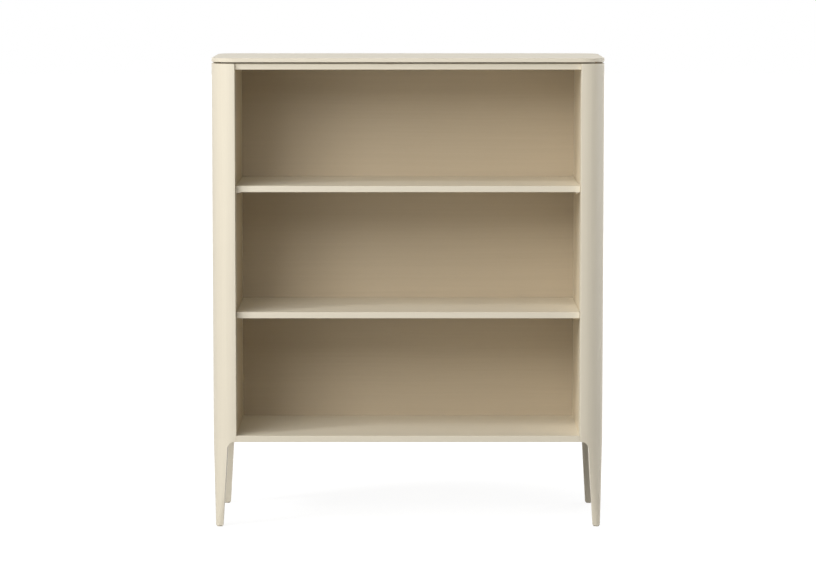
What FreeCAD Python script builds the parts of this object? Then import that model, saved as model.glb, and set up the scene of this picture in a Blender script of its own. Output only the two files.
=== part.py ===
import FreeCAD, Part

import math
import os

from FreeCAD import Vector

os.makedirs("parts", exist_ok=True)

# The whole unit, in millimetres. X runs along it, Y to the back and Z up. The origin is on
# the floor under its middle.
overall_width = 1000.0
overall_depth = 400.0
overall_height = 1200.0
case_underside_height = 220.0

# The top floats over a shadow gap above the whole case. A thin spacer board, which lies on the
# posts, the sides and the case board and is set in from the top's edges, carries it.
top_thickness = 10.0
top_upper_arris_radius = 1.5
top_lower_arris_radius = 1.0
shadow_gap = 4.0
spacer_setback = 24.0

# The corner posts. Each is square on its two inner sides and has one large round outer corner
# between two narrow flats.
post_corner_radius = 55.0
post_flat = 6.0
post_arris_radius = 1.0
side_top_arris_radius = 1.0

# The tapered legs, which are the lower ends of the posts. A cove cuts each inner side in
# under the case, and a straight slope runs from the cove to the foot. The cove that shows
# from the front is large. The one that shows from the side is small, so that it doesn't cut
# into the post's round corner.
taper_start_height = 226.0
foot_inset = 7.0
foot_width = 19.0
foot_corner_radius = 10.0
front_cove_radius = 19.5
front_cove_flat = 3.8
side_cove_radius = 8.0
side_cove_flat = 2.5
leg_arris_radius = 0.6
foot_arris_radius = 0.6

# Boards of the case.
case_top_thickness = 15.0
case_bottom_thickness = 16.0
case_top_setback = 10.0
board_arris_radius = 1.0
side_skin_thickness = 16.0
side_rail_height = 60.0
tongue_thickness = 6.0
tongue_length = 8.0
tongue_stop = 10.0

# The back panel sits in a groove all round, ahead of the rear face. The groove is a little
# wide at its front, which draws a fine line round the panel.
back_thickness = 8.0
back_inset = 10.0
back_groove_depth = 6.0
back_reveal = 0.4

# The loose shelves, each given by the height of its upper face.
shelf_thickness = 16.0
upper_shelf_height = 875.0
lower_shelf_height = 552.0
shelf_setback = 22.0
shelf_end_gap = 0.5
shelf_back_gap = 2.0

# The shelf supports are half-round pins in rows of holes.
pin_shank_radius = 2.5
pin_shank_length = 8.0
pin_head_radius = 6.0
pin_head_length = 9.0
pin_arris_radius = 0.4
pin_hole_depth = 9.0
pin_hole_pitch = 32.0
pin_row_setback = 32.0
hole_steps = (-1, 0, 1)

# Dowels join the rails to the posts, and the case boards to the posts. A blind hole is a
# little deeper than what stands in it.
dowel_radius = 4.0
dowel_length = 30.0
dowel_chamfer = 1.0
hole_spare = 1.0
rail_dowel_depth = 15.0
rail_dowel_spacing = 30.0
board_dowel_depth = 11.0
board_dowel_inset = 20.0

# Cam fittings draw the case boards against the sides. A bolt stands in the side, and its head
# is caught by a disc let into the board's underside.
cam_axis_height = 8.0
cam_distance = 34.0
cam_inset = 40.0
cam_disc_radius = 7.5
cam_disc_height = 12.0
cam_slot_width = 1.5
cam_slot_depth = 2.0
cam_pocket_reach = 3.5
bolt_thread_radius = 2.5
bolt_thread_length = 11.0
bolt_shank_radius = 3.0
bolt_neck_radius = 2.0
bolt_neck_length = 5.0
bolt_head_length = 3.0

# Countersunk screws hold the top from below.
screw_radius = 2.0
screw_head_radius = 4.0
screw_rim_height = 0.3
screw_head_height = 2.2
screw_point_length = 3.0
screw_bite = 7.0
screw_recess_length = 4.0
screw_recess_width = 0.9
screw_recess_depth = 1.6
screw_column_spacing = 320.0
screw_row_inset = 80.0
screw_columns = (-1, 0, 1)

# The levelling glides: a plastic base on a steel screw that runs in a metal insert.
glide_base_radius = 8.0
glide_base_height = 3.0
glide_base_arris_radius = 0.5
glide_flats_width = 14.0
glide_flange_radius = 5.0
glide_flange_thickness = 1.0
glide_flange_height = 1.0
glide_screw_radius = 3.0
glide_screw_length = 20.0
glide_hole_spare = 1.5
insert_radius = 4.25
insert_length = 13.0

# Clearances, and one overrun that every cut shares.
running_gap = 0.05
groove_gap = 0.1
seat_gap = 0.3
overrun = 2.0

# Places that follow from the sizes above.
half_width = overall_width / 2
half_depth = overall_depth / 2
post_size = post_corner_radius + post_flat
inner_half_width = half_width - post_size
inner_half_depth = half_depth - post_size
case_top = overall_height - top_thickness
side_top = case_top - shadow_gap
clear_bottom = case_underside_height + case_bottom_thickness
clear_top = side_top - case_top_thickness
back_rear = half_depth - back_inset
back_front = back_rear - back_thickness
foot_inner = half_width - foot_inset - foot_width
foot_centre_x = half_width - foot_inset - foot_width / 2
foot_centre_y = half_depth - foot_inset - foot_width / 2
rail_inner = inner_half_width + side_skin_thickness
rail_outer = half_width - side_skin_thickness
rail_middle = (rail_inner + rail_outer) / 2
pin_row = inner_half_depth - pin_row_setback
board_dowel_row = inner_half_depth + board_dowel_inset
cam_row = inner_half_depth - cam_inset
screw_row = half_depth - screw_row_inset

both = (-1, 1)
sides = {"left": -1, "right": 1}
ends = {"front": -1, "rear": 1}
x_axis = Vector(1, 0, 0)
y_axis = Vector(0, 1, 0)
z_axis = Vector(0, 0, 1)


def block(low, high):
    """A box between two opposite corners."""
    size = Vector(*high) - Vector(*low)
    return Part.makeBox(size.x, size.y, size.z, Vector(*low))


def rod(radius, start, end):
    """A round bar between two points."""
    run = Vector(*end) - Vector(*start)
    return Part.makeCylinder(radius, run.Length, Vector(*start), run)


def turned(outline):
    """A solid turned about Z from (radius, height) points."""
    points = [Vector(radius, 0, height) for radius, height in outline]
    face = Part.Face(Part.makePolygon(points + points[:1]))
    return face.revolve(Vector(), z_axis, 360)


def mirrored(shape, flip_x, flip_y):
    """The shape's copy on the side and at the end that the two signs name."""
    if flip_x < 0:
        shape = shape.mirror(Vector(), x_axis)
    if flip_y < 0:
        shape = shape.mirror(Vector(), y_axis)
    return shape


def at_four_corners(shape):
    """The shape and its mirror copies at the other three corners."""
    return [mirrored(shape, side, end) for side in both for end in both]


def rounded(shape, radius, wanted):
    """The shape with each edge rounded whose end points all pass the test."""
    edges = [edge for edge in shape.Edges if all(wanted(v.Point) for v in edge.Vertexes)]
    return shape.makeFillet(radius, edges)


def same(value, target):
    return abs(value - target) < running_gap


def arc_about(centre, start, end):
    """The shorter arc about a centre, from one point to another."""
    middle = (start - centre) + (end - centre)
    middle.normalize()
    return Part.Arc(start, centre + middle * (start - centre).Length, end).toShape()


def line(start, end):
    return Part.LineSegment(start, end).toShape()


def save(name, shape):
    shape.exportStep("parts/" + name + ".step")
    print(name, len(shape.Solids))


# The posts are modelled at the rear right corner and mirrored to the others.

def post_section(height, inset, corner_radius):
    """The post's outline at one height, with its outer faces moved in by the inset."""
    outer_x = half_width - inset
    outer_y = half_depth - inset
    inner_corner = Vector(inner_half_width, inner_half_depth, height)
    arris_start = Vector(inner_half_width, outer_y - post_arris_radius, height)
    arris_end = Vector(inner_half_width + post_arris_radius, outer_y, height)
    arris_centre = Vector(arris_end.x, arris_start.y, height)
    round_start = Vector(outer_x - corner_radius, outer_y, height)
    round_end = Vector(outer_x, outer_y - corner_radius, height)
    round_centre = Vector(round_start.x, round_end.y, height)
    outer_corner = Vector(outer_x, inner_half_depth, height)
    return Part.Wire([
        line(inner_corner, arris_start),
        arc_about(arris_centre, arris_start, arris_end),
        line(arris_end, round_start),
        arc_about(round_centre, round_start, round_end),
        line(round_end, outer_corner),
        line(outer_corner, inner_corner),
    ])


def leg_cutter(cove_radius, cove_flat):
    """What is cut from a leg's inner side, in XZ: a cove under the case, then the slope."""
    foot = Vector(foot_inner, 0, glide_base_height)
    centre = Vector(inner_half_width + cove_flat, 0, case_underside_height - cove_radius)
    reach = foot - centre
    turn = math.atan2(reach.z, reach.x) + math.acos(cove_radius / reach.Length)
    cove_start = centre + z_axis * cove_radius
    cove_end = centre + Vector(math.cos(turn), 0, math.sin(turn)) * cove_radius
    slope = foot - cove_end
    slope_end = foot + slope * (overrun / slope.Length)
    far_x = inner_half_width - overrun
    far_low = Vector(far_x, 0, slope_end.z)
    far_high = Vector(far_x, 0, case_underside_height)
    outline = Part.Wire([
        line(far_high, cove_start),
        arc_about(centre, cove_start, cove_end),
        line(cove_end, slope_end),
        line(slope_end, far_low),
        line(far_low, far_high),
    ])
    profile = Part.Face(outline)
    profile.translate(y_axis * (inner_half_depth - overrun))
    return profile.extrude(y_axis * (post_size + overrun + overrun))


def leg_arrises(solid, cutters):
    """The long edges that one of the cutters leaves on a leg, but not the one that both leave."""
    arrises = []
    for edge in solid.Edges:
        box = edge.BoundBox
        if box.ZMax < case_underside_height + running_gap and box.ZLength > running_gap:
            middle = Part.Vertex(edge.valueAt((edge.FirstParameter + edge.LastParameter) / 2))
            if sum(cutter.distToShape(middle)[0] < running_gap for cutter in cutters) == 1:
                arrises.append(edge)
    return arrises


def end_edges(solid, height):
    """The edges round one end of a post, but not the one where its side boards stand."""
    return [edge for edge in solid.Edges
            if all(same(v.Point.z, height) for v in edge.Vertexes)
            and edge.BoundBox.YMax > inner_half_depth + running_gap]


def swapped(shape):
    """The shape turned over the diagonal of the corner, so that X and Y change places."""
    corner = Vector(half_width, half_depth, 0)
    return shape.mirror(corner, Vector(1, -1, 0))


def dowel_hole(start, end):
    """The round cut that a dowel stands in."""
    return rod(dowel_radius + running_gap, start, end)


def rail_dowel_heights():
    """The heights of the dowels at the ends of the lower and the upper side rails."""
    low = case_underside_height + side_rail_height / 2
    high = side_top - side_rail_height / 2
    return [middle + sign * rail_dowel_spacing / 2 for middle in (low, high) for sign in both]


def cam_heights():
    """The heights of the fittings' axes in the bottom and the top board."""
    return [case_underside_height + cam_axis_height, clear_top + cam_axis_height]


def back_groove():
    """The space that the grooves give the back panel, a little wider than the panel."""
    reach = back_groove_depth + seat_gap
    return block(
        (-inner_half_width - reach, back_front - back_reveal, clear_bottom - reach),
        (inner_half_width + reach, back_rear + groove_gap, clear_top + reach))


def post(is_rear):
    """The rear right post, with its leg. Only a rear post takes the back panel."""
    shaft = Part.Face(post_section(taper_start_height, 0, post_corner_radius))
    shaft = shaft.extrude(z_axis * (side_top - taper_start_height))
    upper = post_section(taper_start_height, 0, post_corner_radius)
    lower = post_section(glide_base_height, foot_inset, foot_corner_radius)
    leg = Part.makeLoft([upper, lower], True, True)
    cutters = [
        leg_cutter(front_cove_radius, front_cove_flat),
        swapped(leg_cutter(side_cove_radius, side_cove_flat)),
    ]
    solid = shaft.fuse(leg).cut(cutters).removeSplitter()
    solid = solid.makeFillet(leg_arris_radius, leg_arrises(solid, cutters))
    solid = solid.makeFillet(foot_arris_radius, end_edges(solid, glide_base_height))
    solid = solid.makeFillet(side_top_arris_radius, end_edges(solid, side_top))
    tongue_middle = side_skin_thickness / 2
    for middle in (inner_half_width + tongue_middle, half_width - tongue_middle):
        half_groove = tongue_thickness / 2 + groove_gap
        solid = solid.cut(block(
            (middle - half_groove, inner_half_depth - overrun,
             case_underside_height + tongue_stop - groove_gap),
            (middle + half_groove, inner_half_depth + tongue_length + seat_gap,
             side_top - tongue_stop + groove_gap)))
    for height in rail_dowel_heights():
        depth = dowel_length - rail_dowel_depth + hole_spare
        solid = solid.cut(dowel_hole(
            (rail_middle, inner_half_depth - overrun, height),
            (rail_middle, inner_half_depth + depth, height)))
    for height in cam_heights():
        solid = solid.cut(dowel_hole(
            (inner_half_width - overrun, board_dowel_row, height),
            (inner_half_width + board_dowel_depth + hole_spare, board_dowel_row, height)))
    if is_rear:
        solid = solid.cut(back_groove())
    insert_top = glide_base_height + insert_length
    screw_top = glide_flange_height + glide_screw_length + glide_hole_spare
    solid = solid.cut(rod(insert_radius + running_gap,
                          (foot_centre_x, foot_centre_y, glide_base_height - overrun),
                          (foot_centre_x, foot_centre_y, insert_top)))
    return solid.cut(rod(glide_screw_radius + groove_gap,
                         (foot_centre_x, foot_centre_y, glide_base_height),
                         (foot_centre_x, foot_centre_y, screw_top)))


# The boards that make the case.

def slab_with_round_corners(inset, low, high):
    """A level slab whose corners follow the posts in plan, with its edges moved in by the inset."""
    reach_x = half_width - inset
    reach_y = half_depth - inset
    slab = block((-reach_x, -reach_y, low), (reach_x, reach_y, high))
    upright = [edge for edge in slab.Edges if edge.BoundBox.ZLength > running_gap]
    return slab.makeFillet(post_corner_radius - inset, upright)


def top_panel():
    slab = slab_with_round_corners(0, case_top, overall_height)
    slab = rounded(slab, top_upper_arris_radius, lambda p: same(p.z, overall_height))
    slab = rounded(slab, top_lower_arris_radius, lambda p: same(p.z, case_top))
    for x, y in top_screw_places():
        slab = slab.cut(top_screw(x, y, running_gap))
    return slab


def top_spacer():
    board = slab_with_round_corners(spacer_setback, side_top, case_top)
    for x, y in top_screw_places():
        board = board.cut(top_screw(x, y, running_gap))
    return board


def case_board(front, low, high):
    """A board between the posts, with its two front edges rounded."""
    board = block((-inner_half_width, front, low), (inner_half_width, half_depth, high))
    board = rounded(board, board_arris_radius, lambda p: same(p.y, front))
    return board.cut(back_groove())


def fitted(board, underside):
    """The board with the holes for its dowels and cam fittings."""
    axis = underside + cam_axis_height
    for side in both:
        end = side * (inner_half_width + overrun)
        for row in both:
            dowel_y = row * board_dowel_row
            depth = dowel_length - board_dowel_depth + hole_spare
            inner_end = side * (inner_half_width - depth)
            board = board.cut(dowel_hole((end, dowel_y, axis), (inner_end, dowel_y, axis)))
            cam_y = row * cam_row
            centre = side * (inner_half_width - cam_distance)
            bore = bolt_shank_radius + groove_gap
            board = board.cut(rod(bore, (end, cam_y, axis), (centre, cam_y, axis)))
            board = board.cut(rod(
                cam_disc_radius + running_gap,
                (centre, cam_y, underside - overrun),
                (centre, cam_y, underside + cam_disc_height + seat_gap)))
    return board


def case_top_panel():
    board = case_board(-half_depth + case_top_setback, clear_top, side_top)
    for x, y in top_screw_places():
        board = board.cut(top_screw(x, y, running_gap))
    return fitted(board, clear_top)


def case_bottom_panel():
    board = case_board(-half_depth, case_underside_height, clear_bottom)
    return fitted(board, case_underside_height)


def back_panel():
    reach = back_groove_depth
    return block(
        (-inner_half_width - reach, back_front, clear_bottom - reach),
        (inner_half_width + reach, back_rear, clear_top + reach))


def side_skin(inner_face):
    """One right side board between the posts, with a tongue at each end."""
    outer_face = inner_face + side_skin_thickness
    middle = inner_face + side_skin_thickness / 2
    board = block(
        (inner_face, -inner_half_depth, case_underside_height),
        (outer_face, inner_half_depth, side_top))
    reach = inner_half_depth + tongue_length
    tongue = block(
        (middle - tongue_thickness / 2, -reach, case_underside_height + tongue_stop),
        (middle + tongue_thickness / 2, reach, side_top - tongue_stop))
    return board.fuse(tongue).removeSplitter()


def inner_side_panel():
    """The right inner side board, with the pin holes and the holes for the cam bolts."""
    board = side_skin(inner_half_width)
    start = inner_half_width - overrun
    for shelf_height in (lower_shelf_height, upper_shelf_height):
        for step in hole_steps:
            height = pin_axis_height(shelf_height) + step * pin_hole_pitch
            for row in both:
                board = board.cut(rod(
                    pin_shank_radius + running_gap,
                    (start, row * pin_row, height),
                    (inner_half_width + pin_hole_depth, row * pin_row, height)))
    for height in cam_heights():
        for row in both:
            y = row * cam_row
            depth = bolt_thread_length + hole_spare
            board = board.cut(rod(
                bolt_thread_radius + running_gap,
                (start, y, height), (inner_half_width + depth, y, height)))
    return board


def outer_side_panel():
    board = side_skin(half_width - side_skin_thickness)
    return rounded(board, side_top_arris_radius,
                   lambda p: same(p.x, half_width) and same(p.z, side_top))


def side_rail(low):
    """A right side rail, between the two side boards."""
    rail = block(
        (rail_inner, -inner_half_depth, low),
        (rail_outer, inner_half_depth, low + side_rail_height))
    for height in rail_dowel_heights():
        if low < height < low + side_rail_height:
            for end in both:
                depth = rail_dowel_depth + hole_spare
                rail = rail.cut(dowel_hole(
                    (rail_middle, end * (inner_half_depth + overrun), height),
                    (rail_middle, end * (inner_half_depth - depth), height)))
    return rail


# The loose shelves and the pins they lie on.

def shelf(top):
    reach = inner_half_width - shelf_end_gap
    slab = block(
        (-reach, -half_depth + shelf_setback, top - shelf_thickness),
        (reach, back_front - shelf_back_gap, top))
    return slab.makeFillet(board_arris_radius, slab.Edges)


def pin_axis_height(shelf_top):
    """The height of a pin's axis: its flat lies level with the shank's upper side."""
    return shelf_top - shelf_thickness - seat_gap - pin_shank_radius


def shelf_pin(height):
    """One pin in the right side, at the rear: a shank and a half-round head, flat on top."""
    face = inner_half_width
    head = rod(pin_head_radius, (face - pin_head_length, pin_row, height),
               (face, pin_row, height))
    head = head.cut(block(
        (face - pin_head_length - overrun, pin_row - pin_head_radius - overrun,
         height + pin_shank_radius),
        (face + overrun, pin_row + pin_head_radius + overrun,
         height + pin_head_radius + overrun)))
    head = rounded(head, pin_arris_radius, lambda p: same(p.x, face - pin_head_length))
    shank = rod(pin_shank_radius, (face - pin_arris_radius, pin_row, height),
                (face + pin_shank_length, pin_row, height))
    return head.fuse(shank).removeSplitter()


def shelf_pins(shelf_top):
    pin = shelf_pin(pin_axis_height(shelf_top))
    return Part.makeCompound(at_four_corners(pin))


# The hidden fasteners.

def dowel(middle, direction):
    """A dowel about its middle, with chamfered ends."""
    start = middle - direction * (dowel_length / 2)
    bar = Part.makeCylinder(dowel_radius, dowel_length, start, direction)
    rims = [edge for edge in bar.Edges if edge.Closed]
    return bar.makeChamfer(dowel_chamfer, rims)


def side_rail_dowels():
    y = inner_half_depth - rail_dowel_depth + dowel_length / 2
    parts = []
    for height in rail_dowel_heights():
        peg = dowel(Vector(rail_middle, y, height), y_axis)
        parts += at_four_corners(peg)
    return Part.makeCompound(parts)


def board_dowels():
    x = inner_half_width + board_dowel_depth - dowel_length / 2
    parts = []
    for height in cam_heights():
        peg = dowel(Vector(x, board_dowel_row, height), x_axis)
        parts += at_four_corners(peg)
    return Part.makeCompound(parts)


def cam_bolts():
    """The bolts: a thread in the side, a shank, a neck and a head inside the disc."""
    neck_start = bolt_thread_length + cam_distance - bolt_neck_length
    head_start = neck_start + bolt_neck_length
    length = head_start + bolt_head_length
    bolt = turned([
        (0, 0), (bolt_thread_radius, 0), (bolt_thread_radius, bolt_thread_length),
        (bolt_shank_radius, bolt_thread_length), (bolt_shank_radius, neck_start),
        (bolt_neck_radius, neck_start), (bolt_neck_radius, head_start),
        (bolt_shank_radius, head_start), (bolt_shank_radius, length), (0, length)])
    bolt.rotate(Vector(), y_axis, -90)
    bolt.translate(Vector(inner_half_width + bolt_thread_length, cam_row, 0))
    parts = []
    for height in cam_heights():
        raised = bolt.translated(z_axis * height)
        parts += at_four_corners(raised)
    return Part.makeCompound(parts)


def cam_discs():
    """The discs: each is hollow where the bolt's head lies, with a slot for a driver below."""
    centre = inner_half_width - cam_distance
    y = cam_row
    parts = []
    for axis in cam_heights():
        low = axis - cam_axis_height
        disc = rod(cam_disc_radius, (centre, y, low), (centre, y, low + cam_disc_height))
        disc = disc.cut(rod(
            bolt_shank_radius + groove_gap,
            (centre + cam_disc_radius + overrun, y, axis),
            (centre - cam_pocket_reach, y, axis)))
        disc = disc.cut(block(
            (centre - cam_disc_radius - overrun, y - cam_slot_width / 2, low - overrun),
            (centre + cam_disc_radius + overrun, y + cam_slot_width / 2,
             low + cam_slot_depth)))
        parts += at_four_corners(disc)
    return Part.makeCompound(parts)


def top_screw_places():
    return [(column * screw_column_spacing, row * screw_row)
            for column in screw_columns for row in both]


def top_screw(x, y, gap):
    """A countersunk screw from under the case top, grown by the gap when it cuts its hole."""
    reach = case_top_thickness + shadow_gap + screw_bite
    screw = turned([
        (0, -gap), (screw_head_radius + gap, -gap), (screw_head_radius + gap, screw_rim_height),
        (screw_radius + gap, screw_head_height), (screw_radius + gap, reach - screw_point_length),
        (0, reach + gap)])
    return screw.translated(Vector(x, y, clear_top))


def recessed(screw, x, y):
    """The screw with a cross recess in its head."""
    half_length = screw_recess_length / 2
    half_slot = screw_recess_width / 2
    for across, along in ((half_length, half_slot), (half_slot, half_length)):
        screw = screw.cut(block(
            (x - across, y - along, clear_top - overrun),
            (x + across, y + along, clear_top + screw_recess_depth)))
    return screw


def top_screws():
    return Part.makeCompound([recessed(top_screw(x, y, 0), x, y) for x, y in top_screw_places()])


# The levelling glides under the feet.

def foot_insert():
    low = (foot_centre_x, foot_centre_y, glide_base_height)
    high = (foot_centre_x, foot_centre_y, glide_base_height + insert_length)
    bore = rod(glide_screw_radius + running_gap, low, high)
    return rod(insert_radius, low, high).cut(bore)


def foot_inserts():
    insert = foot_insert()
    return Part.makeCompound(at_four_corners(insert))


def glide_screw(gap):
    """The screw and the flange that its base is moulded round, grown by the gap."""
    flange_top = glide_flange_height + glide_flange_thickness
    end = glide_flange_height + glide_screw_length
    screw = turned([
        (0, glide_flange_height - gap), (glide_flange_radius + gap, glide_flange_height - gap),
        (glide_flange_radius + gap, flange_top + gap), (glide_screw_radius + gap, flange_top + gap),
        (glide_screw_radius + gap, end), (0, end)])
    return screw.translated(Vector(foot_centre_x, foot_centre_y, 0))


def glide_base():
    base = rod(glide_base_radius, (foot_centre_x, foot_centre_y, 0),
               (foot_centre_x, foot_centre_y, glide_base_height))
    base = rounded(base, glide_base_arris_radius, lambda p: same(p.z, 0))
    for side in both:
        flat = foot_centre_x + side * glide_flats_width / 2
        beyond = foot_centre_x + side * (glide_base_radius + overrun)
        base = base.cut(block(
            (min(flat, beyond), foot_centre_y - glide_base_radius - overrun, -overrun),
            (max(flat, beyond), foot_centre_y + glide_base_radius + overrun,
             glide_base_height + overrun)))
    return base.cut(glide_screw(running_gap))


# Every piece is written under its own name.

for end, end_sign in ends.items():
    corner_post = post(end == "rear")
    for side, side_sign in sides.items():
        name = end + "_" + side
        save(name + "_post", mirrored(corner_post, side_sign, end_sign))
        save(name + "_glide_base", mirrored(glide_base(), side_sign, end_sign))
        save(name + "_glide_screw", mirrored(glide_screw(0), side_sign, end_sign))

for side, side_sign in sides.items():
    save(side + "_inner_side_panel", mirrored(inner_side_panel(), side_sign, 1))
    save(side + "_outer_side_panel", mirrored(outer_side_panel(), side_sign, 1))
    save(side + "_lower_side_rail", mirrored(side_rail(case_underside_height), side_sign, 1))
    save(side + "_upper_side_rail", mirrored(side_rail(side_top - side_rail_height), side_sign, 1))

save("top_panel", top_panel())
save("top_spacer", top_spacer())
save("case_top_panel", case_top_panel())
save("case_bottom_panel", case_bottom_panel())
save("back_panel", back_panel())
save("upper_shelf", shelf(upper_shelf_height))
save("lower_shelf", shelf(lower_shelf_height))
save("upper_shelf_pins", shelf_pins(upper_shelf_height))
save("lower_shelf_pins", shelf_pins(lower_shelf_height))
save("side_rail_dowels", side_rail_dowels())
save("case_board_dowels", board_dowels())
save("cam_bolts", cam_bolts())
save("cam_discs", cam_discs())
save("top_screws", top_screws())
save("foot_inserts", foot_inserts())
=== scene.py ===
# %% [markdown]
# # A low open bookcase in satin cream lacquer
#
# The bookcase comes as a finished set of parts at their real size, in metres: the boards, the
# posts with their tapered legs, and the fittings that hold them together. Nothing in this
# lesson moves or reshapes them. The lesson gives each part the finish that a joiner, a sprayer
# or a plater would give it, and then builds a plain white studio with soft lamps and a camera.

# %% Load the parts
import math

import bmesh
import bpy
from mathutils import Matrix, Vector

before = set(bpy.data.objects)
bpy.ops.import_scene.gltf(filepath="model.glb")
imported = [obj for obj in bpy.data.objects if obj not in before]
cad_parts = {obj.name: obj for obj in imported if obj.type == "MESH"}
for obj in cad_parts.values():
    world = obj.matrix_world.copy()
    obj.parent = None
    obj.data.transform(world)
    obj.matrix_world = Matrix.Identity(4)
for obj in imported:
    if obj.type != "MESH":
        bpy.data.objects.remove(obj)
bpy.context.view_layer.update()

# %% [markdown]
# ## The camera
#
# Furniture is photographed for a catalogue from far away and through a long lens, because
# upright edges then stay upright and the near legs look hardly thicker than the rear ones. A
# wide lens close by would also show all of the piece, but it would spread the sides outwards.
# Here the lens stands almost nine metres away, a little above the top, and looks down by less
# than six degrees: just enough to see a sliver of the top and of each shelf.

# %% Stand the camera in front
camera_distance = 8.7842
camera_height = 1.4896
camera_tilt = math.radians(5.8431)
lens_length = 149.508
sensor_width = 36.0

camera = bpy.data.objects.new("studio_camera", bpy.data.cameras.new("studio_camera"))
camera.data.lens = lens_length
camera.data.sensor_width = sensor_width
camera.location = (0, -camera_distance, camera_height)
camera.rotation_euler = (math.pi / 2 - camera_tilt, 0, 0)
bpy.context.scene.collection.objects.link(camera)
bpy.context.scene.camera = camera
bpy.context.view_layer.update()
print("the camera stands at:", [round(x, 2) for x in camera.matrix_world.translation])


# %% [markdown]
# ## Writing shaders as sums
#
# A pattern such as wood grain is a sum of a few noises. In the shader editor that becomes a web
# of small Math nodes, which is hard to read back. Python lets a class say what plus and times
# mean, so the class below wraps one output of a node, and `1 - streaks * 0.2` adds the Math
# nodes by itself. Any other kind of node comes from its one method `add`.

# %% A node output that can be added and multiplied
class Shade:
    """One output of a node. Arithmetic on it adds Math nodes beside that node."""

    def __init__(self, tree, socket=None):
        self.tree = tree
        self.socket = socket

    def add(self, kind, sockets, settings=None, output=0):
        """Adds a node: its settings first, then the value or the link of each socket."""
        node = self.tree.nodes.new(kind)
        for name, value in (settings or {}).items():
            setattr(node, name, value)
        for name, value in sockets.items():
            if isinstance(value, Shade):
                self.tree.links.new(value.socket, node.inputs[name])
            else:
                node.inputs[name].default_value = value
        return Shade(self.tree, node.outputs[output]) if node.outputs else None

    def math(self, operation, first, second):
        """Adds a Math node that does this to two numbers or Shades."""
        return self.add("ShaderNodeMath", {0: first, 1: second}, {"operation": operation})

    def __add__(self, other):
        return self.math("ADD", self, other)

    def __sub__(self, other):
        return self.math("SUBTRACT", self, other)

    def __rsub__(self, other):
        return self.math("SUBTRACT", other, self)

    def __mul__(self, other):
        return self.math("MULTIPLY", self, other)

    __radd__ = __add__
    __rmul__ = __mul__


# %% Start and end a set of nodes
def emptied(owner):
    """Clears a material or a world and gives the Shade that its nodes are added from."""
    owner.use_nodes = True
    owner.node_tree.nodes.clear()
    return Shade(owner.node_tree)


def show(surface, output_kind="ShaderNodeOutputMaterial"):
    """Sends a finished surface to the output of its material or world."""
    surface.add(output_kind, {"Surface": surface})


# %% [markdown]
# ## Colours from a paint chart
#
# A paint chart and a screen both give a colour as three steps from 0 to 255, and those steps
# are spaced for the eye: finer in the dark than in the light. A shader counts light itself, so
# the steps are turned back into shares of light first. Without that, every cream would come
# out chalky. The rule below holds for all but the darkest ten steps.

# %% Turn screen steps into shares of light
full_step = 255
screen_offset = 0.055
screen_power = 2.4
white = (1, 1, 1, 1)


def paint_chart(steps):
    """A colour in screen steps of red, green and blue, as shares of light for a socket."""
    shares = [step / full_step for step in steps]
    return (*[((share + screen_offset) / (1 + screen_offset)) ** screen_power
              for share in shares], 1)


def between(factor, low, high):
    """The colour that lies this far from the low colour to the high one.

    The Mix node keeps its colours at inputs 6 and 7 and gives them at output 2.
    """
    return factor.add("ShaderNodeMix", {0: factor, 6: low, 7: high}, {"data_type": "RGBA"},
                      output=2)


middle_grey = (128, 128, 128)
print("a middle grey on screen is this share of the light:", round(paint_chart(middle_grey)[0], 3))

# %% [markdown]
# ## Grain that runs one way
#
# The lacquer is sprayed thinly over a fine-grained veneer, so the grain still shows through as
# very faint streaks. On the posts and sides they stand upright, and on the shelves and the back
# they lie level. A photograph of real veneer would repeat from board to board. Noise doesn't:
# it is a rule that gives a value at every point in space. Squeezed along one axis, its round
# blotches become streaks, and a shift of its own for each piece gives every board other grain,
# as if each had been cut from another leaf.

# %% Squeeze and shift the space that the noises live in
noise_middle = 0.5
shift_steps = (3.7, 5.3, 1.9)


def own_shift(number):
    """A place in the noise that no other piece uses."""
    return [step * number for step in shift_steps]


def object_place(start):
    """Where a point lies on its own piece, in metres."""
    return start.add("ShaderNodeTexCoord", {}, output="Object")


def squeezed(place, grain_axis, shift, along, across):
    """A place counted in blotches: few to the metre along the grain, and many across it."""
    scale = [across] * 3
    scale["XYZ".index(grain_axis)] = along
    return place.add("ShaderNodeMapping", {"Vector": place, "Location": shift, "Scale": scale})


def noise(place, scale=1.0, detail=2.0, roughness=0.5):
    """A value that wanders softly round its middle from place to place."""
    return place.add("ShaderNodeTexNoise", {
        "Vector": place, "Scale": scale, "Detail": detail, "Roughness": roughness})


def bent(place, waves, height):
    """The place pushed a little to and fro, so that streaks drift instead of ruling lines."""
    push = place.add("ShaderNodeTexNoise", {"Vector": place, "Scale": waves}, output="Color")
    centred = place.add("ShaderNodeVectorMath", {0: push, 1: (noise_middle,) * 3},
                        {"operation": "SUBTRACT"})
    return place.add("ShaderNodeVectorMath", {0: centred, 1: (height,) * 3, 2: place},
                     {"operation": "MULTIPLY_ADD"})


print("the second piece starts at this place in the noise:", own_shift(1))

# %% [markdown]
# ## The satin lacquer
#
# A satin lacquer is a thin film with a matting agent in it, which throws light back as a broad
# soft sheen. The surface is flat to the touch, but the film sinks a few hundredths of a
# millimetre into each pore of the veneer below, and the pores scatter a little more light. So
# the same two patterns, long streaks and short pores, feed colour, roughness and bump together.
# The colour moves by two steps in a hundred each way at most, which is what the eye reads as
# painted wood and not as plastic.
#
# All of the outside is one light cream. The inner faces of the sides and the back board get a
# little darker cream as painted shade, deepening the shade inside the case beyond the lamps'.

# %% Choose the lacquer's creams and its grain
lacquer_creams = {
    "lacquered_posts": (225, 216, 196),
    "lacquered_boards": (225, 216, 196),
    # the inner sides' and the back board's darker creams are painted shade, not a second paint
    "lacquered_sides": (216, 203, 178),
    "lacquered_back": (193, 178, 153),
}
tone_swing = 5

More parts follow.
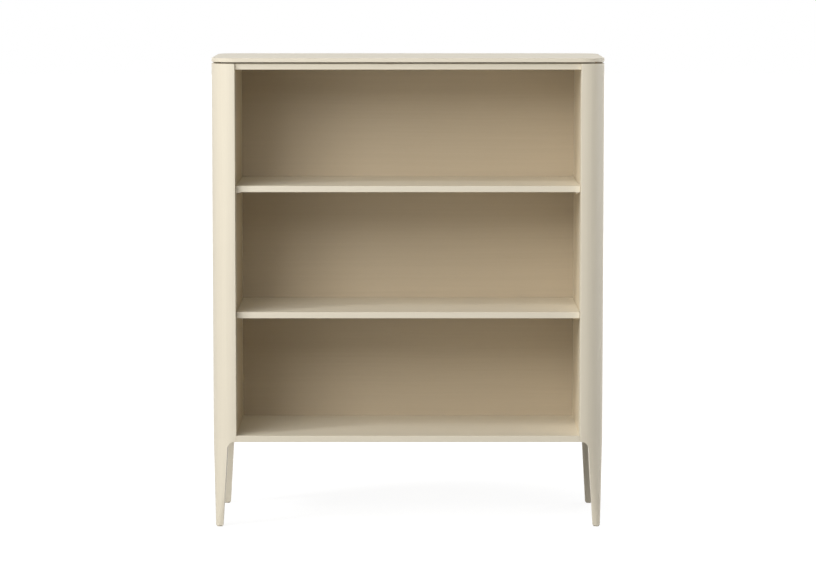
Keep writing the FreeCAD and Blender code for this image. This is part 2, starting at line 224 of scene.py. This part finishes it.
veneer_drift = {"waves": 2.5, "height": 0.012}
streaks_per_metre = {"along": 1.6, "across": 190}
pores_per_metre = {"along": 26, "across": 900}
clouds_per_metre = {"along": 2, "across": 5}
pore_edges = {"From Min": 0.58, "From Max": 0.70}

print("lacquer creams:", len(set(lacquer_creams.values())), "for", len(lacquer_creams), "finishes")

# %% Mix the lacquer
lacquer_roughness = 0.42
lacquer_sheen = 0.25
streak_tone = 0.75
cloud_tone = 0.35
pore_tone = 0.12
lacquer_tone_drop = 0.03
streak_dulling = 0.06
pore_dulling = 0.05
streak_relief = 0.4
pore_depth = 0.00003


def lacquer(name, cream, grain_axis, shift):
    """Satin lacquer of this cream over veneer whose grain runs along this axis."""
    material = bpy.data.materials.new(name)
    start = emptied(material)
    place = object_place(start)
    drifting = bent(place, **veneer_drift)
    streaks = noise(squeezed(drifting, grain_axis, shift, **streaks_per_metre), detail=3)
    pore_noise = noise(squeezed(drifting, grain_axis, shift, **pores_per_metre), detail=1)
    pores = start.add("ShaderNodeMapRange", {"Value": pore_noise, **pore_edges})
    clouds = noise(squeezed(place, grain_axis, shift, **clouds_per_metre))
    tone = streaks * streak_tone + clouds * cloud_tone - pores * pore_tone - lacquer_tone_drop
    dark = paint_chart([step - tone_swing for step in cream])
    light = paint_chart([step + tone_swing for step in cream])
    smoothest = lacquer_roughness - streak_dulling * noise_middle
    show(start.add("ShaderNodeBsdfPrincipled", {
        "Base Color": between(tone, dark, light),
        "Roughness": smoothest + streaks * streak_dulling + pores * pore_dulling,
        "Specular IOR Level": lacquer_sheen,
        "Normal": start.add("ShaderNodeBump", {
            "Height": streaks * streak_relief - pores, "Distance": pore_depth}),
    }))
    return material


print(f"pores in the lacquer, metres deep: {pore_depth:.5f}")

# %% [markdown]
# ## Bare wood
#
# The rails inside the sides and the dowels are never seen once the bookcase is up, so the maker
# leaves them unfinished. They are beech: pinkish brown, with darker growth rings that show as
# soft bands and with short dark flecks. Bands come from the same squeezed noise, only wider
# and much stronger than under the lacquer.

# %% Mix the bare beech
beech_light = paint_chart((218, 184, 140))
beech_dark = paint_chart((186, 144, 100))
beech_drift = {"waves": 8, "height": 0.004}
rings_per_metre = {"along": 4, "across": 120}
flecks_per_metre = {"along": 90, "across": 900}
fleck_edges = {"From Min": 0.60, "From Max": 0.68}
ring_tone = 1.6
fleck_tone = 0.35
beech_tone_drop = 0.3
beech_roughness = 0.58
ring_dulling = 0.15
ring_relief = 0.5
fleck_depth = 0.0001


def bare_beech(name, grain_axis, shift):
    """Unfinished beech whose grain runs along this axis."""
    material = bpy.data.materials.new(name)
    start = emptied(material)
    drifting = bent(object_place(start), **beech_drift)
    rings = noise(squeezed(drifting, grain_axis, shift, **rings_per_metre), detail=4)
    fleck_noise = noise(squeezed(drifting, grain_axis, shift, **flecks_per_metre), detail=1)
    flecks = start.add("ShaderNodeMapRange", {"Value": fleck_noise, **fleck_edges})
    tone = rings * ring_tone - flecks * fleck_tone - beech_tone_drop
    show(start.add("ShaderNodeBsdfPrincipled", {
        "Base Color": between(tone, beech_dark, beech_light),
        "Roughness": beech_roughness + rings * ring_dulling,
        "Normal": start.add("ShaderNodeBump", {
            "Height": rings * ring_relief - flecks, "Distance": fleck_depth}),
    }))
    return material


print("growth rings of the beech to the metre:", rings_per_metre["across"])

# %% [markdown]
# ## Plated steel and brass
#
# The cam fittings and screws are zinc plated, the shelf pins are nickel plated, and the
# threaded inserts in the feet are brass. Plating is a metal, so its colour belongs to the
# reflection. What tells the three apart, besides the tint, is how even they are: zinc is cloudy
# and dull, nickel is even and bright, and turned brass lies between the two. One function with
# a row of values for each makes all of them, with a cloud over the tint and a finer cloud over
# the roughness.

# %% Mix the metals
metals = {
    "zinc_steel": {"light": (214, 216, 218), "dark": (178, 181, 186),
                   "smoothest": 0.30, "roughest": 0.55},
    "nickel_steel": {"light": (226, 221, 211), "dark": (208, 202, 190),
                     "smoothest": 0.16, "roughest": 0.34},
    "insert_brass": {"light": (226, 190, 116), "dark": (196, 156, 84),
                     "smoothest": 0.22, "roughest": 0.46},
}
tarnish_scale = 260
scuff_scale = 1400
scuff_grit = 0.6
tarnish_dulling = 0.4
scuff_dulling = 0.6
scuff_depth = 0.00002


def plated(name, shift, light, dark, smoothest, roughest):
    """A metal whose tint and roughness both wander between two values."""
    material = bpy.data.materials.new(name)
    start = emptied(material)
    moved = start.add("ShaderNodeMapping", {"Vector": object_place(start), "Location": shift})
    tarnish = noise(moved, scale=tarnish_scale, detail=3)
    scuffs = noise(moved, scale=scuff_scale, detail=3, roughness=scuff_grit)
    wear = tarnish * tarnish_dulling + scuffs * scuff_dulling
    show(start.add("ShaderNodeBsdfPrincipled", {
        "Base Color": between(tarnish, paint_chart(dark), paint_chart(light)),
        "Metallic": 1.0,
        "Roughness": smoothest + wear * (roughest - smoothest),
        "Normal": start.add("ShaderNodeBump", {"Height": scuffs, "Distance": scuff_depth}),
    }))
    return material


print("metals:", ", ".join(metals))

# %% [markdown]
# ## Moulded plastic
#
# The levelling glides are moulded in a plastic that matches the lacquer, so that nobody notices
# them under the feet. A steel mould is etched to a fine even texture, which shows as a dull
# surface with tiny pits. That is a fine noise in the bump and almost nothing in the colour.

# %% Mix the plastic
plastic_light = paint_chart((226, 218, 200))
plastic_dark = paint_chart((216, 207, 188))
flow_scale = 90
pit_scale = 2600
plastic_roughness = 0.45
pit_dulling = 0.15
pit_depth = 0.00004


def moulded_plastic(name, shift):
    """Plastic in the lacquer's colour, with the pits of an etched mould."""
    material = bpy.data.materials.new(name)
    start = emptied(material)
    moved = start.add("ShaderNodeMapping", {"Vector": object_place(start), "Location": shift})
    flow = noise(moved, scale=flow_scale, detail=2)
    pits = noise(moved, scale=pit_scale, detail=2)
    show(start.add("ShaderNodeBsdfPrincipled", {
        "Base Color": between(flow, plastic_dark, plastic_light),
        "Roughness": plastic_roughness + pits * pit_dulling,
        "Normal": start.add("ShaderNodeBump", {"Height": pits, "Distance": pit_depth}),
    }))
    return material


print(f"pits in the plastic, metres deep: {pit_depth:.5f}")

# %% [markdown]
# ## Giving every part its finish
#
# Each part already carries the name of its finish. The loop reads that name and swaps in a
# material made for this one part, so that its grain starts somewhere new. The bare wood needs
# its grain turned: the rails and their dowels run from front to back, and the dowels of the case
# boards run from side to side. The outer side boards lie flush between the posts, so they take
# the posts' cream and not the darker cream of the inner sides, which is painted shade.

# %% Dress the parts
grain_axes = {"lacquered_posts": "Z", "lacquered_sides": "Z", "lacquered_boards": "X",
              "lacquered_back": "X"}
outer_boards = ("left_outer_side_panel", "right_outer_side_panel")


def finish_for(name, finish, shift):
    """The material of one part, made from the name of its finish."""
    title = finish + "_on_" + name
    if finish in grain_axes:
        # outer side boards keep the posts' cream; the inner sides' darker cream is painted shade
        cream = lacquer_creams["lacquered_posts" if name in outer_boards else finish]
        return lacquer(title, cream, grain_axes[finish], shift)
    if finish == "plain_wood":
        return bare_beech(title, "X" if name == "case_board_dowels" else "Y", shift)
    if finish in metals:
        return plated(title, shift, **metals[finish])
    return moulded_plastic(title, shift)


for number, (name, part) in enumerate(sorted(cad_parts.items())):
    slot = part.material_slots[0]
    slot.material = finish_for(name, slot.material.name, own_shift(number))

print("finishes made:", len([m for m in bpy.data.materials if "_on_" in m.name]))

# %% [markdown]
# ## The white studio
#
# In the photograph the bookcase stands on nothing but white. A studio gets that from a bright
# sweep of paper, and a retoucher wipes away the rest. More and more light on a white floor would
# also burn out the cream lacquer, so the floor here plays two parts. A node called Light Path
# tells what kind of ray has reached the floor:
#
# - A ray from the eye, straight or by way of a reflection, meets a floor that mostly glows
#   white by itself. Under the bookcase, a quarter of that glow gives way to paper that the
#   lamps light, so that a faint shadow stays. A strength of 1 is plain white, and the glow is a
#   little above that to make up for the quarter. The paper's share runs out with the distance,
#   so no edge shows where the floor meets the white world.
# - A ray on its way from one surface to another meets plain grey paper, which sends only a
#   little light up under the boards, where the photograph is dark.

# %% Lay the floor
floor_radius = 30.0
floor_corners = 64
floor_mesh = bpy.data.meshes.new("studio_floor")
floor_shape = bmesh.new()
bmesh.ops.create_circle(floor_shape, cap_ends=True, segments=floor_corners, radius=floor_radius)
floor_shape.to_mesh(floor_mesh)
floor_shape.free()
floor = bpy.data.objects.new("studio_floor", floor_mesh)
bpy.context.scene.collection.objects.link(floor)
print("floor corners:", len(floor_mesh.vertices))


# %% Tell the eye's rays from the lamps' rays
def seen_directly(start):
    """1 for rays that carry the backdrop to the eye, also by a reflection or through glass."""
    camera_ray = start.add("ShaderNodeLightPath", {}, output="Is Camera Ray")
    glossy_ray = start.add("ShaderNodeLightPath", {}, output="Is Glossy Ray")
    glass_ray = start.add("ShaderNodeLightPath", {}, output="Is Transmission Ray")
    return start.math("MINIMUM", camera_ray + glossy_ray + glass_ray, 1.0)


# %% Mix the floor's paper and its glow
paper_seen = 0.8
paper_felt = 0.32
shadow_share = 0.25
shadow_fades = 0.4
shadow_ends = 1.1
glow_strength = 1.16

floor_material = bpy.data.materials.new("studio_floor")
floor_start = emptied(floor_material)
seen = seen_directly(floor_start)
distance = floor_start.add("ShaderNodeVectorMath", {0: object_place(floor_start)},
                           {"operation": "LENGTH"}, output="Value")
near = floor_start.add("ShaderNodeMapRange", {
    "Value": distance, "From Min": shadow_fades, "From Max": shadow_ends,
    "To Min": 1.0, "To Max": 0.0}, {"interpolation_type": "SMOOTHSTEP"})
paper_shade = paper_felt + seen * (paper_seen - paper_felt)
paper = floor_start.add("ShaderNodeBsdfDiffuse", {"Color": paper_shade})
glow = floor_start.add("ShaderNodeEmission", {"Color": white, "Strength": glow_strength})
glow_share = seen * (1 - near * shadow_share)
show(floor_start.add("ShaderNodeMixShader", {0: glow_share, 1: paper, 2: glow}))
floor_mesh.materials.append(floor_material)
print("the shadow ends this far from the middle, in metres:", shadow_ends)

# %% Colour the world
room_light = 0.01
world = bpy.data.worlds.new("studio_world")
bpy.context.scene.world = world
world_start = emptied(world)
world_strength = room_light + seen_directly(world_start) * (1 - room_light)
sky = world_start.add("ShaderNodeBackground", {"Color": white, "Strength": world_strength})
show(sky, "ShaderNodeOutputWorld")
print("nodes in the world:", len(world.node_tree.nodes))

# %% [markdown]
# ## The lamps
#
# The shadows in the photograph tell where the light comes from. The left end of every
# compartment is dark and the dark edge on the shelves slants away to the right, so the main
# light stands to the left, in front and above. The edges of those shadows are soft, so the
# light is large. Weaker soft lamps stand straight in front, low on the left and low on the
# right, because the front edges, the legs and the right posts aren't dark. Two lamps with a
# small angle add the one crisp edge.
#
# Two more stand behind, out of the picture. They light the rear legs and glance off the top,
# which the eye sees at so flat an angle that it works as a mirror. That is why these two are
# wide: spread over a larger face, the same light makes a soft sheen there and not a white spot.
#
# Each strength is a share: a lamp of strength 1 would light a white card that faces it to
# exactly white. Such shares can be added up in the head, and pi turns them into watts, because
# a matt card spreads what it gets over a whole half of the sky. A soft lamp spreads its own
# light in the same way, so pi counts twice there, and the watts grow with the square of the
# lamp's distance.

# %% Aim a lamp at the bookcase
lamp_distance = 5.0
lamp_aim_height = 0.7
lamp_aim = Vector((0, 0, lamp_aim_height))


def way_to(azimuth, elevation):
    """The direction from the bookcase to a lamp: 0 is the front, and the angle grows leftwards."""
    turn, rise = math.radians(azimuth), math.radians(elevation)
    level = math.cos(rise)
    return Vector((-math.sin(turn) * level, -math.cos(turn) * level, math.sin(rise)))


def face_the_bookcase(name, kind, azimuth, elevation):
    """A new lamp that shines at the bookcase from this way."""
    lamp = bpy.data.objects.new(name, bpy.data.lights.new(name, kind))
    lamp.location = lamp_aim + way_to(azimuth, elevation) * lamp_distance
    lamp.rotation_mode = "QUATERNION"
    lamp.rotation_quaternion = (-way_to(azimuth, elevation)).to_track_quat("-Z", "Y")
    bpy.context.scene.collection.objects.link(lamp)
    return lamp.data


straight_ahead = lamp_aim + way_to(0, 0) * lamp_distance
print("a lamp straight in front hangs at:", [round(x, 2) for x in straight_ahead])

# %% Hang the soft lamps: azimuth and elevation in degrees, width in metres, strength
softboxes = {
    "key_softbox": (30, 28, 2.4, 0.46),
    "front_softbox": (0, 28, 2.4, 0.18),
    "front_low_softbox": (30, 5, 2.4, 0.09),
    "left_low_softbox": (45, 5, 2.4, 0.10),
    "right_low_softbox": (-95, 5, 2.4, 0.39),
    "rear_left_softbox": (140, 25, 3.6, 0.20),
    "rear_right_softbox": (-140, 25, 3.6, 0.40),
}
for name, (azimuth, elevation, width, strength) in softboxes.items():
    softbox = face_the_bookcase(name, "AREA", azimuth, elevation)
    softbox.shape = "SQUARE"
    softbox.size = width
    softbox.energy = strength * math.pi ** 2 * lamp_distance ** 2

print("soft lamps:", len(softboxes))

# %% Hang the crisp lamps: azimuth, elevation and angle in degrees, strength
crisp_lamps = {
    "key_sun": (56, 38, 12, 0.26),
    "high_sun": (56, 50, 15, 0.08),
}
for name, (azimuth, elevation, angle, strength) in crisp_lamps.items():
    crisp_lamp = face_the_bookcase(name, "SUN", azimuth, elevation)
    crisp_lamp.angle = math.radians(angle)
    crisp_lamp.energy = strength * math.pi

print("crisp lamps:", len(crisp_lamps))

# %% [markdown]
# ## Finish
#
# The Standard view shows a colour as it was mixed, where a film-like view would dim and tint
# the cream.

# %% Write the sizes and hand over
bpy.context.scene.view_settings.view_transform = "Standard"
